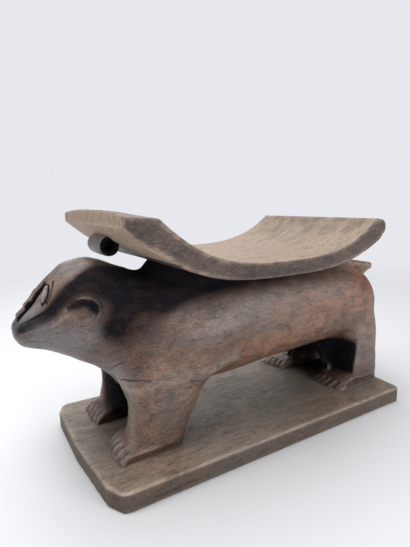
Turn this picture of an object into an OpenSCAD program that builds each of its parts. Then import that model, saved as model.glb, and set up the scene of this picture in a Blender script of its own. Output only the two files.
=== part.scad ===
// Carved wooden stool: a four-legged animal stands on a plinth and carries
// a trough-shaped seat on its back. Sizes in millimetres.
// +Z is up, the head looks along -X, the animal's left side faces -Y.
// The plinth's underside is the plane Z = 0 and the animal's middle plane is Y = 0.
// The real stool is cut from one block. Here each carved form is its own piece,
// and neighbours meet on flat cuts or lie against each other's surface.

/* [Plinth] */
// length along the animal
base_l = 478; // [450:1:530]
// width across the animal
base_w = 227; // [200:1:280]
// thickness
base_t = 22; // [14:1:36]
// how far the plinth's middle stands to the animal's right
base_off_y = -6; // [-14:1:6]
// radius of the four corners in plan
base_corner = 10; // [6:1:24]
// how far the front edge bows out
base_bow = 8; // [0:1:16]
// how much further back the rear edge runs on the animal's right
base_skew = 12; // [0:1:30]
// worn bevel along the top edge
base_bevel = 3; // [1:0.5:5]

/* [Body] */
// clear height between plinth and belly
belly_clear = 53; // [40:1:70]
// height of the body from belly to back
body_h = 147; // [120:1:170]
// greatest width of the body, over the hips
body_w = 156; // [130:1:180]
// where the body begins, behind the neck
neck_x = -172; // [-182:1:-165]
// rearmost point of the rump
rump_x = 241; // [232:1:250]
// squareness of the body's cross-section, 2 is an ellipse
body_square = 2.5; // [2:0.1:3.5]

/* [Head] */
// how far the nose reaches forward of the neck
head_l = 121; // [100:1:140]
// how far the crown rises above the back
crown_h = 26; // [14:1:32]
// greatest width of the head, at the neck
head_w = 124; // [104:1:140]
// squareness of the head's cross-section
head_square = 2.3; // [2:0.1:3]
// width of the nose ridge
ridge_w = 14; // [8:1:20]
// how far the nose ridge stands proud
ridge_h = 4; // [2:0.5:8]
// length of an ear
ear_l = 46; // [30:1:54]
// height of an ear
ear_h = 28; // [20:1:36]
// how far an ear stands proud
ear_t = 6; // [4:0.5:9]
// height of an eye
eye_h = 25; // [16:1:30]
// width of an eye
eye_w = 12; // [8:1:18]
// how far an eye stands proud
eye_t = 3; // [1.5:0.5:5]

/* [Legs] */
// distance from the middle plane to the outside of the paws
foot_out = 80; // [74:1:88]
// distance from the middle plane to the inside of the fore paws
fore_in = 24; // [18:1:32]
// distance from the middle plane to the inside of the left hind paw
hind_in_left = 29; // [24:1:34]
// distance from the middle plane to the inside of the right hind paw
hind_in_right = 30; // [24:1:36]
// toe tips of the fore paws
fore_toe_x = -207; // [-212:1:-203]
// length of a fore leg along the body
fore_leg_l = 88; // [78:1:98]
// toe tips of the hind paws
hind_toe_x = 135; // [130:1:140]
// front of the hind legs
hind_leg_x = 162; // [157:1:167]
// how far the line of the toes leans across a hind paw
hind_lean = 8; // [0:1:12]
// how far the right hind paw stands ahead of the left one
hind_lead = 26; // [10:1:30]
// how far the left shin's inner ridge leans in from paw to belly
shin_flare = 32; // [20:1:33]
// height of a paw
paw_h = 22; // [18:1:26]
// height at which the legs leave the body, above the plinth
leg_h = 79; // [72:1:86]
// toes on a paw
toe_n = 5; // [3:1:6]

/* [Tail] */
// width of the tail flap
tail_w = 58; // [40:1:70]
// how far it stands out behind the rump
tail_l = 24; // [14:1:34]
// thickness at the tip
tail_t = 11; // [8:1:16]
// height of its root on the rump
tail_root = 26; // [20:1:32]
// how much of the root lies below the tail's line
tail_drop = 16; // [8:1:20]

/* [Seat] */
// length from tip to tip
seat_l = 372; // [340:1:400]
// width across the animal
seat_w = 232; // [200:1:260]
// how far the seat's middle stands to the animal's right
seat_off_y = -4; // [-12:1:12]
// thickness at the lowest point
seat_t = 18.5; // [14:0.5:24]
// how far the front end rises
seat_front_rise = 58; // [44:1:68]
// how far the rear end rises
seat_rear_rise = 43; // [30:1:56]
// flat land on top of the front end
seat_land = 37; // [26:1:44]
// height of the blunt front end
seat_nose = 12.5; // [8:0.5:16]
// power of the curve, higher keeps the middle flatter
seat_curve = 3; // [2.4:0.1:4]
// how far the seat's front tip stands behind the nose
seat_set_back = 87.5; // [78:0.5:98]

/* [Seat support] */
// depth of the flat cut that the support stands on, below the back
saddle_cut = 17; // [10:1:24]
// width of the support under the seat
support_w = 92; // [70:1:120]
// length of the support along the seat
support_l = 222; // [190:1:240]

/* [Carrying lug] */
// outer diameter of the lug
lug_d = 24.5; // [23:0.5:29]
// diameter of the cross hole
lug_bore = 14; // [11:0.5:15]
// wood left between the hole and the seat's underside
lug_web = 0.6; // [0.4:0.1:1.5]
// how far the lug stands up the front flat, from its lower end
lug_slide = 2.3; // [0:0.1:6]
// length across the seat
lug_l = 52; // [40:1:80]
// how far its middle stands to the animal's right
lug_off_y = 2; // [-10:1:10]

/* [Quality] */
// points round each body cross-section
ring_n = 28; // [20:4:40]
// facets of round parts
round_n = 48; // [24:4:96]

/* [Hidden] */
belly_z = base_t + belly_clear;
back_z = belly_z + body_h;
saddle_z = back_z - saddle_cut;
leg_z = base_t + leg_h;
ankle_z = base_t + paw_h;
body_l = rump_x - neck_x;
head_h = body_h + crown_h;
nose_x = neck_x - head_l;
fore_leg_x = fore_toe_x + 17;
toe_z = 0.62 * paw_h;
thin = 1;
big = 900;

seat_x0 = nose_x + seat_set_back;
seat_x1 = seat_x0 + seat_l;
seat_low_x = seat_x0 + 0.525 * seat_l;
seat_low_z = back_z + seat_t - 0.5;
seat_run_front = seat_low_x - seat_x0 - seat_land;
seat_run_rear = seat_x1 - seat_low_x - seat_t;
// the underside keeps a longer run, so the ends are thicker than the middle
seat_lag = 1.2 * seat_t;
seat_front_z = seat_low_z + seat_front_rise;
// the land falls back a little from the front edge to the crest of the trough
seat_crest = 0.92 * seat_front_rise;
// front end of the underside: two flats, steep one foremost
chin_x = seat_x0 + 0.066 * seat_l;
chin_z = seat_front_z - seat_nose - 0.355 * seat_front_rise;
throat_x = seat_x0 + 0.18 * seat_l;

// the lug's hole runs just clear of the front flat
flat_angle = atan2(seat_front_z - seat_nose - chin_z, chin_x - seat_x0);
lug_sink = lug_bore / 2 + lug_web;
lug_x = chin_x - lug_sink * sin(flat_angle) - lug_slide * cos(flat_angle);
lug_z = chin_z - lug_sink * cos(flat_angle) + lug_slide * sin(flat_angle);
tail_x = rump_x - 0.055 * body_l;
tail_z = belly_z + 0.80 * body_h;
support_x0 = seat_low_x - 0.52 * support_l;
// front of the right hind leg
hind_right_x = hind_leg_x - 0.6 * hind_lead;

// stations along the body: place, top, bottom, half width, as shares of its sizes
body_rows = [
    [0, 1.078, 0.054, 0.795], [0.04, 1.037, 0.02, 0.846], [0.09, 1.007, 0, 0.897],
    [0.17, 1, 0, 0.93], [0.32, 1, 0.003, 0.93], [0.46, 1, 0.034, 0.925],
    [0.61, 1, 0.055, 0.936], [0.73, 1, 0.082, 0.968], [0.83, 0.98, 0.095, 1],
    [0.90, 0.915, 0.095, 0.98], [0.95, 0.83, 0.116, 0.9], [0.98, 0.707, 0.2, 0.77],
    [1, 0.565, 0.34, 0.58]];
// stations along the head, from neck to nose, as shares of its sizes
head_rows = [
    [0, 0.916, 0.046, 1], [0.07, 0.938, 0.087, 0.98], [0.215, 0.983, 0.19, 0.92],
    [0.32, 1, 0.254, 0.87], [0.44, 0.988, 0.306, 0.815], [0.545, 0.965, 0.353, 0.76],
    [0.645, 0.9, 0.39, 0.685], [0.735, 0.826, 0.422, 0.605], [0.825, 0.736, 0.445, 0.52],
    [0.89, 0.694, 0.46, 0.455], [0.96, 0.648, 0.491, 0.37], [1, 0.605, 0.538, 0.24]];

function power(v, p) = sign(v) * pow(abs(v), p);
// one closed cross-section: half width a, half height b
function ring(a, b, sq) = [for (i = [0:ring_n - 1]) let (t = 360 * i / ring_n)
    [a * power(cos(t), 2 / sq), b * power(sin(t), 2 / sq)]];
// a share of the head's rows at place u
function head_at(u, k) = lookup(u, [for (r = head_rows) [r[0], r[k]]]);
function head_top(u) = belly_z + head_at(u, 1) * head_h;
function head_low(u) = belly_z + head_at(u, 2) * head_h;
// distance of the head's skin from the middle plane, at place u and height z
function head_side(u, z) = let (m = (head_top(u) + head_low(u)) / 2,
    b = (head_top(u) - head_low(u)) / 2) head_at(u, 3) * head_w / 2
    * pow(max(0, 1 - pow(min(1, abs(z - m) / b), head_square)), 1 / head_square);
// height of the seat's top and of its underside
function seat_top(x) = seat_low_z + (x < seat_low_x
    ? seat_crest * pow((seat_low_x - x) / seat_run_front, seat_curve)
    : seat_rear_rise * pow((x - seat_low_x) / seat_run_rear, seat_curve));
function seat_under(x) = seat_low_z - seat_t + (x < seat_low_x
    ? seat_crest * pow((seat_low_x - x) / (seat_run_front + seat_lag), seat_curve)
    : seat_rear_rise * pow((x - seat_low_x) / (seat_run_rear + seat_lag), seat_curve));

// a thin slice across X
module slice_x(x, low, top, half, sq)
    translate([x, 0, (top + low) / 2]) rotate([90, 0, 90])
        linear_extrude(thin, center = true) polygon(ring(half, (top - low) / 2, sq));
// a thin slice across Z
module slice_z(z, x0, x1, y0, y1, sq)
    translate([(x0 + x1) / 2, (y0 + y1) / 2, z])
        linear_extrude(thin, center = true) polygon(ring((x1 - x0) / 2, (y1 - y0) / 2, sq));

module body_form()
    for (i = [0:len(body_rows) - 2]) hull() for (r = [body_rows[i], body_rows[i + 1]])
        slice_x(neck_x + r[0] * body_l, belly_z + r[2] * body_h, belly_z + r[1] * body_h,
            r[3] * body_w / 2, body_square);

module head_form()
    for (i = [0:len(head_rows) - 2]) hull() for (r = [head_rows[i], head_rows[i + 1]])
        slice_x(neck_x - r[0] * head_l, belly_z + r[2] * head_h, belly_z + r[1] * head_h,
            r[3] * head_w / 2, head_square);

// a leg as slices across Z: height, front, rear, inside, outside, squareness
// side is -1 on the animal's left
module leg_form(rows, side)
    for (i = [0:len(rows) - 2]) hull() for (r = [rows[i], rows[i + 1]])
        slice_z(r[0], r[1], r[2], side * r[3], side * r[4], r[5]);

fore_x1 = fore_leg_x + fore_leg_l;
shin = leg_z - ankle_z;
fore_rows = [
    [base_t - 1, fore_leg_x - 4, fore_x1 - 18, fore_in + 2, foot_out, 3],
    [ankle_z, fore_leg_x + 1, fore_x1 - 9, fore_in + 4, foot_out - 2, 2.8],
    [ankle_z + 0.32 * shin, fore_leg_x + 4, fore_x1 + 4, fore_in + 4, foot_out - 3, 2.6],
    [ankle_z + 0.67 * shin, fore_leg_x + 4, fore_x1 + 13, fore_in + 3, foot_out - 4, 2.5],
    [leg_z, fore_leg_x, fore_x1 + 26, fore_in, foot_out - 5, 2.4],
    [leg_z + 0.17 * body_h, fore_leg_x - 6, fore_x1 + 38, fore_in - 6, foot_out - 7, 2.1],
    [leg_z + 0.36 * body_h, fore_leg_x + 8, fore_x1 + 28, fore_in - 8, foot_out - 13, 2]];
// a hind leg spreads inwards from paw to belly by flare
function hind_rows(front, inner, flare) = [
    [base_t - 1, front, rump_x - 10, inner, foot_out, 3.4],
    [ankle_z, front, rump_x - 7, inner - 0.04 * flare, foot_out - 1, 3.2],
    [ankle_z + 0.18 * shin, front, rump_x - 6, inner - 0.22 * flare, foot_out - 1, 3.1],
    [ankle_z + 0.42 * shin, front, rump_x - 5, inner - 0.6 * flare, foot_out - 1.4, 3],
    [ankle_z + 0.78 * shin, front, rump_x - 4, inner - 0.95 * flare, foot_out - 1.6, 3],
    [leg_z, front - 2, rump_x - 3, inner - 0.95 * flare, foot_out - 1.7, 2.8],
    [leg_z + 0.2 * body_h, front - 10, rump_x - 3, inner - 0.95 * flare, foot_out - 2.6, 2.2],
    [leg_z + 0.42 * body_h, front - 12, rump_x - 14, inner - 0.95 * flare, foot_out - 7, 2]];
// ridge along the inner front edge of a hind leg, rising from the paw to the belly
function shin_rows(front, inner, flare) = [
    [base_t - 1, front - 12, front + 24, inner - 1, inner + 14, 4],
    [ankle_z, front - 10, front + 24, inner - 0.08 * flare, inner + 9, 4],
    [ankle_z + 0.18 * shin, front - 9, front + 24, inner - 0.28 * flare, inner + 3, 4],
    [ankle_z + 0.42 * shin, front - 10, front + 24, inner - 0.68 * flare, inner - 0.2 * flare, 4],
    [ankle_z + 0.78 * shin, front - 13, front + 24, inner - flare, inner - 0.45 * flare, 4]];
hind_left = hind_rows(hind_leg_x, hind_in_left, shin_flare);
hind_right = hind_rows(hind_right_x, hind_in_right, 0.56 * shin_flare);
shin_left = shin_rows(hind_leg_x, hind_in_left, shin_flare);
shin_right = shin_rows(hind_right_x, hind_in_right, 0.56 * shin_flare);

module skin() {
    body_form();
    head_form();
    for (side = [-1, 1]) leg_form(fore_rows, side);
    for (rows = [hind_left, shin_left]) leg_form(rows, -1);
    for (rows = [hind_right, shin_right]) leg_form(rows, 1);
}

// the block of space from which a leg is cut
module fore_room(side)
    translate([fore_leg_x - 60, side > 0 ? fore_in - 10 : -fore_in + 10 - big, ankle_z])
        cube([fore_leg_l + 78, big, leg_z - ankle_z]);
module hind_room(side)
    translate([(side > 0 ? hind_right_x : hind_leg_x) - 16, side > 0
        ? hind_in_right - 0.56 * shin_flare - 1 : shin_flare - hind_in_left + 1 - big, ankle_z])
        cube([big, big, leg_z - ankle_z]);
module head_room() translate([neck_x - big, -big / 2, 0]) cube([big, big, big]);
module tail_room()
    translate([tail_x, -tail_w / 2, tail_z - tail_drop]) cube([big, tail_w, tail_root]);
module support_room()
    translate([support_x0 - 4, -big / 2, saddle_z]) cube([support_l + 8, big, big]);

// the seat's outline in its long plane
module seat_outline() {
    n = 12;
    rear = seat_x1 - seat_t;
    tip = seat_t * 0.62;
    polygon(concat(
        [[seat_x0, seat_front_z]],
        [for (i = [0:n]) let (x = seat_x0 + seat_land + seat_run_front * i / n)
            [x, seat_top(x)]],
        [for (i = [1:n]) let (x = seat_low_x + seat_run_rear * i / n) [x, seat_top(x)]],
        [for (a = [50, 15, -20, -50]) [seat_x1 - tip + tip * cos(a),
            seat_low_z + seat_rear_rise - tip * 1.05 + tip * sin(a)]],
        under_line()));
}
// the underside from rear to front
function under_line() = concat(
    [for (i = [11:-1:1]) let (x = seat_low_x + (seat_x1 - 8 - seat_low_x) * i / 11)
        [x, seat_under(x)]],
    [for (i = [0:12]) let (x = seat_low_x - (seat_low_x - throat_x) * i / 12)
        [x, seat_under(x)]],
    [[chin_x, chin_z], [seat_x0, seat_front_z - seat_nose]]);
// everything above the underside
module over_seat() translate([0, big / 2, 0]) rotate([90, 0, 0]) linear_extrude(big)
    polygon(concat(under_line(), [[seat_x0 - 1, big], [seat_x1, big]]));
module seat_form()
    translate([0, seat_off_y + seat_w / 2, 0]) rotate([90, 0, 0])
        linear_extrude(seat_w) seat_outline();
// wooden plinth with worn edges
module base() color("#6b5547") {
    x0 = -base_l / 2;
    x1 = base_l / 2;
    y0 = base_off_y - base_w / 2 + base_corner;
    y1 = base_off_y + base_w / 2 - base_corner;
    hull() for (p = [[x0 + base_bow + 10, y0], [x0 + base_bow + 2, y0 + 14],
        [x0 + 1, (y0 + y1) / 2], [x0, y1 - 14], [x0 + 6, y1], [x1, y1], [x1 - base_skew, y0]])
        translate([p[0] + (p[0] < 0 ? base_corner : -base_corner), p[1], 0]) {
            cylinder(r = base_corner, h = base_t - base_bevel, $fn = round_n);
            cylinder(r = base_corner - base_bevel, h = base_t, $fn = round_n);
        }
}

module trunk() color("#4a3228") difference() {
    skin();
    head_room();
    support_room();
    tail_room();
    translate([-big / 2, -big / 2, -1]) cube([big, big, ankle_z + 1]);
    for (side = [-1, 1]) {
        fore_room(side);
        hind_room(side);
    }
}

module head() color("#4a3228") difference() {
    intersection() {
        skin();
        head_room();
    }
    translate([-big, -big / 2, -1]) cube([big, big, ankle_z + 1]);
    for (side = [-1, 1]) fore_room(side);
}

// raised bar from the forehead to the tip of the nose
module nose_ridge() color("#5b463a") difference() {
    for (i = [5:9]) hull() for (j = [i, i + 1]) {
        u = min(head_rows[j][0], 0.965);
        h = ridge_h * (j == 5 ? 0.1 : 1);
        translate([neck_x - u * head_l, 0, head_top(u) + h / 2 - 5])
            cube([thin, ridge_w, h + 10], center = true);
    }
    head_form();
}

// cupped ear lying against the side of the head
module ear(side) {
    u = 0.465;
    z = belly_z + 0.705 * head_h;
    y = head_side(u, z);
    difference() {
        translate([neck_x - u * head_l, side * (y - 2), z]) rotate([0, 10, -side * 10])
            difference() {
                scale([ear_l / 2, ear_t + 3.5, ear_h / 2]) sphere(1, $fn = 20);
                translate([-2, side * (ear_t + 5), -ear_h * 0.06])
                    scale([ear_l * 0.36, ear_t + 1, ear_h * 0.3]) sphere(1, $fn = 16);
            }
        head_form();
        body_form();
    }
}
module ear_left() color("#5b463a") ear(-1);
module ear_right() color("#5b463a") ear(1);

// almond-shaped raised eye
module eye(side) {
    u = 0.71;
    z = head_top(u) - 0.26 * (head_top(u) - head_low(u)) * 0.5;
    y = head_side(u, z - 3);
    difference() {
        translate([neck_x - u * head_l, side * (y - 2), z - 3]) rotate([side * 38, -18, 0])
            scale([eye_w / 2, eye_t + 2, eye_h / 2]) sphere(1, $fn = 16);
        head_form();
    }
}
module eye_left() color("#5b463a") eye(-1);
module eye_right() color("#5b463a") eye(1);

module fore_leg(side) intersection() {
    skin();
    fore_room(side);
}
module fore_leg_left() color("#553a2e") fore_leg(-1);
module fore_leg_right() color("#553a2e") fore_leg(1);

module hind_leg(side) intersection() {
    skin();
    hind_room(side);
}
module hind_leg_left() color("#553a2e") hind_leg(-1);
module hind_leg_right() color("#553a2e") hind_leg(1);

// a paw: sole, instep and toes side by side, cut flat under the ankle
module paw(rows, side, tip, inner, fall, shin = []) {
    heel = rows[0][2];
    wide = (foot_out - inner) / toe_n;
    intersection() {
        union() {
            leg_form([rows[0], rows[1]], side);
            if (len(shin) > 0) leg_form([shin[0], shin[1]], side);
            hull() {
                slice_z(base_t - 1, tip + 16 + fall / 2, heel - 2, side * (inner + 1), side * foot_out, 4);
                slice_z(base_t + toe_z, tip + 20 + fall / 2, heel - 4, side * (inner + 2), side * foot_out, 4);
                slice_z(ankle_z, rows[1][1] - 1, rows[1][1] + 40, side * (inner + 6),
                    side * (foot_out - 4), 3);
            }
            for (i = [0:toe_n - 1]) {
                y = side * (inner + wide * (i + 0.5));
                back = fall * (1 - i / (toe_n - 1)) + (i == toe_n - 1 ? 1 : 0);
                hull() {
                    translate([tip + wide * 0.62 + back, y, base_t + toe_z * 0.42])
                        scale([1.15, 1, 1.05]) sphere(wide * 0.54, $fn = 12);
                    translate([tip + 21 + back * 0.7, y, base_t + toe_z * 0.72])
                        sphere(wide * 0.56, $fn = 12);
                }
            }
        }
        translate([-big / 2, -big / 2, base_t]) cube([big, big, paw_h]);
    }
}
module fore_paw_left() color("#5e4a3d") paw(fore_rows, -1, fore_toe_x, fore_in, 0);
module fore_paw_right() color("#5e4a3d") paw(fore_rows, 1, fore_toe_x, fore_in, 0);
module hind_paw_left() color("#5e4a3d")
    paw(hind_left, -1, hind_toe_x, hind_in_left, -hind_lean, shin_left);
module hind_paw_right() color("#5e4a3d")
    paw(hind_right, 1, hind_toe_x - hind_lead, hind_in_right, hind_lean, shin_right);

// short broad flap at the top of the rump
module tail() color("#5e4a3d") intersection() {
    union() {
        skin();
        hull() {
            translate([tail_x, -tail_w / 2, tail_z - tail_drop])
                cube([thin, tail_w, tail_root]);
            for (y = [-1, 1]) translate([rump_x + tail_l - 5, y * (tail_w / 2 - 5), tail_z - tail_t / 2 + 4])
                cylinder(r = 5, h = tail_t - 3, $fn = 24);
        }
    }
    tail_room();
}

// block between the back and the seat
module seat_support() color("#4a3228") difference() {
    intersection() {
        union() {
            skin();
            hull() {
                translate([support_x0 + 2, -support_w / 2 - 6, saddle_z - 1])
                    cube([support_l - 4, support_w + 12, 1]);
                translate([support_x0 + 6, -support_w / 2, seat_low_z])
                    cube([support_l - 12, support_w, 20]);
            }
        }
        support_room();
    }
    over_seat();
}

// trough-shaped seat, upturned at both ends
module seat() color("#8a6f58") seat_form();

// half-round lug under the seat's front end, bored across
module carrying_lug() color("#5b463a") difference() {
    translate([lug_x, lug_off_y, lug_z]) rotate([90, 0, 0]) difference() {
        cylinder(d = lug_d, h = lug_l, center = true, $fn = round_n);
        cylinder(d = lug_bore, h = lug_l + 2, center = true, $fn = round_n);
    }
    seat_form();
}

base();
fore_paw_left();
fore_paw_right();
hind_paw_left();
hind_paw_right();
fore_leg_left();
fore_leg_right();
hind_leg_left();
hind_leg_right();
trunk();
tail();
head();
nose_ridge();
ear_left();
ear_right();
eye_left();
eye_right();
seat_support();
seat();
carrying_lug();
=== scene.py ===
# %% [markdown]
# # A carved wooden stool, carved again in Blender
# The real stool is one block of dark hardwood: an animal on a plinth that carries a seat.
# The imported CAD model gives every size. This lesson keeps to those sizes and adds what a
# carver's hand and years of use add: flowing joins, gouge cuts, worn edges and patina.
# All working sizes below are in millimetres, because a carver thinks in them.

# %% Load the frame
import itertools
import math

import bmesh
import bpy
import numpy as np
from mathutils import Matrix, Vector


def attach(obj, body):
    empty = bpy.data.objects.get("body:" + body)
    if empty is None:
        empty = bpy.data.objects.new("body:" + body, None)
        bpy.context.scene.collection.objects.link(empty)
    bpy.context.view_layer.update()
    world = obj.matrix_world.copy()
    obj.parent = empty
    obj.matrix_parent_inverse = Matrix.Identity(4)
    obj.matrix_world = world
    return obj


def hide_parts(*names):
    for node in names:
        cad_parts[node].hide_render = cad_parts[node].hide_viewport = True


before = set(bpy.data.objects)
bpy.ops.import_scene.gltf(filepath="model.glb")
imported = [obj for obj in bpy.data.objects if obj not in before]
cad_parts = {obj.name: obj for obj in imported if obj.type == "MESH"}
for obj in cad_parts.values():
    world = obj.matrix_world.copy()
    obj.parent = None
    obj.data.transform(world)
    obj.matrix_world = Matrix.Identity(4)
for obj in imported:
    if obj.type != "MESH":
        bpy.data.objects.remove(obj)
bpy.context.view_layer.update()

MM = 0.001
scene = bpy.context.scene
print("nodes from the CAD:", len(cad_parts))

# %% [markdown]
# ## The camera first
# The photograph was taken with a phone, about half a metre from the stool's near corner and
# a little above it. The wide lens matters: it makes the near paw large and the far end small.
# The three angles below turn the view to the right, tip it down, and level it.

# %% Camera
turn, tip, roll = math.radians(30.58), math.radians(9.93), math.radians(-0.99)
eye_point = np.array([-324.6, -465.7, 306.4]) * MM
focal_px, frame_h = 400.6, 547

ahead = np.array([math.sin(turn) * math.cos(tip), math.cos(turn) * math.cos(tip), -math.sin(tip)])
level = np.array([math.cos(turn), -math.sin(turn), 0.0])
upright = np.cross(level, ahead)
to_right = math.cos(roll) * level + math.sin(roll) * upright
to_top = -math.sin(roll) * level + math.cos(roll) * upright

camera_data = bpy.data.cameras.new("camera")
camera = bpy.data.objects.new("camera", camera_data)
scene.collection.objects.link(camera)
pose = np.eye(4)
pose[:3] = np.column_stack([to_right, to_top, -ahead, eye_point])
camera.matrix_world = Matrix(pose.tolist())
camera_data.sensor_fit = "VERTICAL"
camera_data.sensor_height = 36.0
camera_data.lens = 36.0 * focal_px / frame_h
camera_data.clip_start = 0.01
scene.camera = camera
print("lens %.1f mm on a 36 mm frame" % camera_data.lens)

# %% [markdown]
# ## Tools for building a rough form
# A carver starts from rough blocks and rounds them together. Here a rough form is a loft: a
# table gives the size of a rounded cross-section at a few stations, a smooth curve runs
# through the stations, and a grid of points is laid round every section.

# %% Loft tools
def through(x, xs, ys):
    """Smooth curve through stations (xs, ys): on each span, the cubic that meets both ends
    with the slope of the parabola through three neighbouring stations."""
    xs, ys = np.asarray(xs, float), np.asarray(ys, float)
    h = np.diff(xs)
    d = np.diff(ys) / h
    m = np.empty_like(ys)
    m[1:-1] = (d[:-1] * h[1:] + d[1:] * h[:-1]) / (h[:-1] + h[1:])
    m[0], m[-1] = d[0], d[-1]
    i = np.clip(np.searchsorted(xs, x) - 1, 0, len(h) - 1)
    t = np.clip((x - xs[i]) / h[i], 0, 1)
    return (ys[i] * (1 + 2 * t) * (1 - t) ** 2 + ys[i + 1] * t * t * (3 - 2 * t)
            + h[i] * (m[i] * t * (1 - t) ** 2 - m[i + 1] * t * t * (1 - t)))


def stations(rows, count):
    """Evenly spaced places along a table's first column, and its other columns there."""
    rows = np.array(sorted(rows), float)
    place = np.linspace(rows[0, 0], rows[-1, 0], count)[:, None]
    return [place] + [through(place, rows[:, 0], column) for column in rows.T[1:]]


def full_turn(count):
    """Evenly spaced angles round a circle."""
    return np.linspace(0, 2 * np.pi, count, endpoint=False)


def rounded(angle, n):
    """A circle squared off by n: cosine and sine, each to the power 2 / n with its sign."""
    return [np.sign(v) * np.abs(v) ** (2 / n) for v in (np.cos(angle), np.sin(angle))]


def grid_faces(rows, cols):
    """Quads of a grid whose columns close on themselves."""
    a = np.arange(rows * cols).reshape(rows, cols)
    b = np.roll(a, -1, 1)
    return np.stack([a[:-1], b[:-1], b[1:], a[1:]], -1).reshape(-1, 4)


def closed_loft(points):
    """points is rows x cols x 3. The two end rings are closed by fans to their middles."""
    rows, cols = points.shape[:2]
    first, last = rows * cols, rows * cols + 1
    ring = np.arange(cols)
    after = np.roll(ring, -1)
    end = (rows - 1) * cols
    fans = np.concatenate([np.stack([after, ring, np.full(cols, first)], -1),
                           np.stack([ring + end, after + end, np.full(cols, last)], -1)])
    verts = np.concatenate([points.reshape(-1, 3), points[0].mean(0)[None], points[-1].mean(0)[None]])
    return verts, [grid_faces(rows, cols), fans]


def loft_x(rows, count=90, cols=72):
    """Loft along X. rows: x, top, bottom, half width, squareness n. The section at x is
    y = half * cos(a)^(2/n), z = middle + half height * sin(a)^(2/n)."""
    x, top, low, half, n = stations(rows, count)
    out, up = rounded(full_turn(cols), n)
    return closed_loft(np.stack([x + 0 * out, half * out, (top + low) / 2 + (top - low) / 2 * up], -1))


def loft_z(rows, side, count=60, cols=64):
    """Loft along Z. rows: z, front, rear, inside, outside, squareness n. The section at z is
    x = middle + half length * cos(a)^(2/n), y = middle + half width * sin(a)^(2/n)."""
    z, front, rear, inner, outer, n = stations(rows, count)
    back, out = rounded(full_turn(cols), n)
    x = (front + rear) / 2 + (rear - front) / 2 * back
    y = side * ((inner + outer) / 2 + (outer - inner) / 2 * out)
    return closed_loft(np.stack([x, y, z + 0 * x], -1))


def as_mesh(name, parts):
    """One mesh from several closed lofts given in millimetres."""
    verts, faces, start = [], [], 0
    for points, groups in parts:
        verts.append(points)
        faces += [(g + start).tolist() for g in groups]
        start += len(points)
    mesh = bpy.data.meshes.new(name)
    mesh.from_pydata((np.concatenate(verts) * MM).tolist(), [], list(itertools.chain(*faces)))
    mesh.update()
    work = bmesh.new()
    work.from_mesh(mesh)
    bmesh.ops.recalc_face_normals(work, faces=work.faces)
    work.to_mesh(mesh)
    work.free()
    return mesh


def in_scene(name, mesh):
    """A new object in the scene, at the origin."""
    thing = bpy.data.objects.new(name, mesh)
    scene.collection.objects.link(thing)
    return thing


# %% [markdown]
# ## One skin over the rough forms
# Where rough forms meet, a real carving has no seam. A voxel remesh does the same: it lays
# one even, closed skin over everything, whatever overlaps inside. Even faces also give the
# later gouge cuts something to bite into.

# %% Skin tools
def skin_over(mesh, cell):
    """An even closed mesh over the union of all lofts, with cells of this size in mm."""
    rough = in_scene("rough", mesh)
    remesh = rough.modifiers.new("skin", "REMESH")
    remesh.mode, remesh.voxel_size, remesh.adaptivity = "VOXEL", cell * MM, 0.0
    graph = bpy.context.evaluated_depsgraph_get()
    skin = bpy.data.meshes.new_from_object(rough.evaluated_get(graph))
    bpy.data.objects.remove(rough)
    return skin


def read(items, field, width=1, kind=np.float32):
    """One field of all items of a mesh list as an array with width columns."""
    flat = np.empty(len(items) * width, kind)
    items.foreach_get(field, flat)
    return flat if width == 1 else flat.reshape(-1, width)


def get_points(mesh):
    return read(mesh.vertices, "co", 3).astype(float) / MM


def put_points(mesh, points):
    mesh.vertices.foreach_set("co", (points * MM).astype(np.float32).ravel())
    mesh.update()


def get_normals(mesh):
    return read(mesh.vertex_normals, "vector", 3).astype(float)


def get_edges(mesh):
    return read(mesh.edges, "vertices", 2, np.int32)


def neighbour_mean(values, pairs):
    """For each point, the mean of the values at the other ends of its edges."""
    count = np.bincount(pairs.ravel(), minlength=len(values))
    ends = np.concatenate([pairs[:, 0], pairs[:, 1]])
    far = np.concatenate([pairs[:, 1], pairs[:, 0]])
    total = np.stack([np.bincount(ends, column[far], len(values)) for column in values.T], -1)
    return total / np.maximum(count, 1)[:, None]


def smooth(mesh, steps, weight=1.0):
    """Smoothing that keeps the volume: each step moves points half way to the mean of their
    neighbours, then a little more than half way back out."""
    p, pairs = get_points(mesh), get_edges(mesh)
    w = np.reshape(weight, (-1, 1))
    for _ in range(steps):
        p += 0.5 * w * (neighbour_mean(p, pairs) - p)
        p -= 0.53 * w * (neighbour_mean(p, pairs) - p)
    put_points(mesh, p)


def fill_hollows(mesh, rounds, weight):
    """Rounds inside corners only: a point moves towards the mean of its neighbours where
    that carries it outwards, so crests stay and creases become soft coves. The normals are
    measured again in each round of six steps."""
    pairs, w = get_edges(mesh), np.reshape(weight, (-1, 1))
    for _ in range(rounds):
        p, normal = get_points(mesh), get_normals(mesh)
        for _ in range(6):
            pull = neighbour_mean(p, pairs) - p
            outwards = np.sum(pull * normal, 1, keepdims=True) > 0
            p += 0.9 * w * np.where(outwards, pull, 0)
        put_points(mesh, p)


# %% [markdown]
# ## Carving tools
# Three tools do all the detail. A gouge is a round-nosed cut along a path: points inside the
# tool are pushed to its surface, so the cut has a crisp rim. A stroke raises or sinks the
# surface softly along a path. A flat chisel planes a region down to a plane.

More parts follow.
